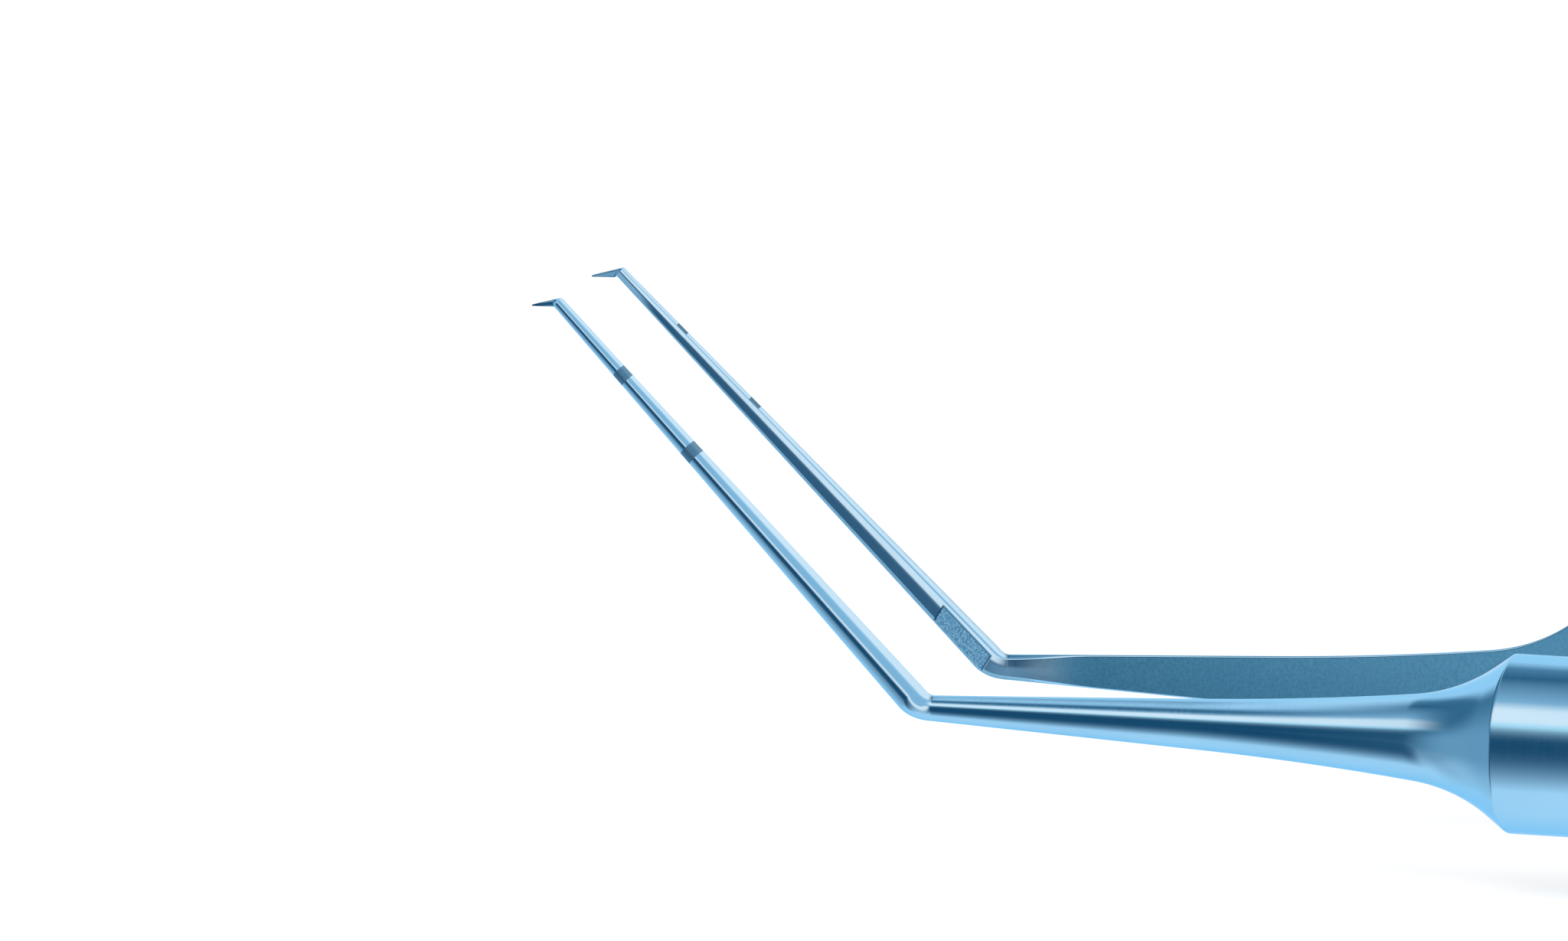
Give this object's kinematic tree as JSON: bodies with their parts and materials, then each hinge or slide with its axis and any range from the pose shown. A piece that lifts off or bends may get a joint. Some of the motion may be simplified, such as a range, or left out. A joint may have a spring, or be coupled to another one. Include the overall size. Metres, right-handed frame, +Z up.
{
  "type": "capsulorhexis forceps",
  "caption": "Eye surgery forceps with a round spring handle, slim shafts bent up at 45 degrees, fine angled tips, scale marks and a tying platform on one arm.",
  "frame": {"origin": "centre of the bounding box at its lowest face, which is the table that the forceps lie on", "axes": "+X along the handle towards the tail, with the tips at -X; +Y across the jaws towards the arm with the platform; +Z up, the way the jaws point"},
  "size_m": [0.11, 0.0142, 0.0128],
  "materials": {
    "blue_titanium": "blue anodised titanium, satin polished outside and finely blasted on the flat inner faces",
    "plain_titanium": "bare titanium alloy, ground"
  },
  "bodies": {
    "tail_end": {"tail": "blue_titanium", "tail_rivets": "plain_titanium"},
    "near_half": {"near_arm": "blue_titanium"},
    "far_half": {"far_arm": "blue_titanium", "guide_pin": "plain_titanium"}
  },
  "joints": [
    {"name": "near_squeeze", "type": "hinge", "parent": "tail_end", "child": "near_half", "pos_m": [0.043, -0.0005, 0.0034], "axis": [0, 0, -1], "range_deg": [0, 1.24], "stiffness_Nm_per_rad": 1},
    {"name": "far_squeeze", "type": "hinge", "parent": "tail_end", "child": "far_half", "pos_m": [0.043, 0.0005, 0.0034], "axis": [0, 0, 1], "range_deg": [0, 1.24], "stiffness_Nm_per_rad": 1}
  ],
  "couplings": [
    {"joint": "far_squeeze", "follows": "near_squeeze", "ratio": 1}
  ]
}
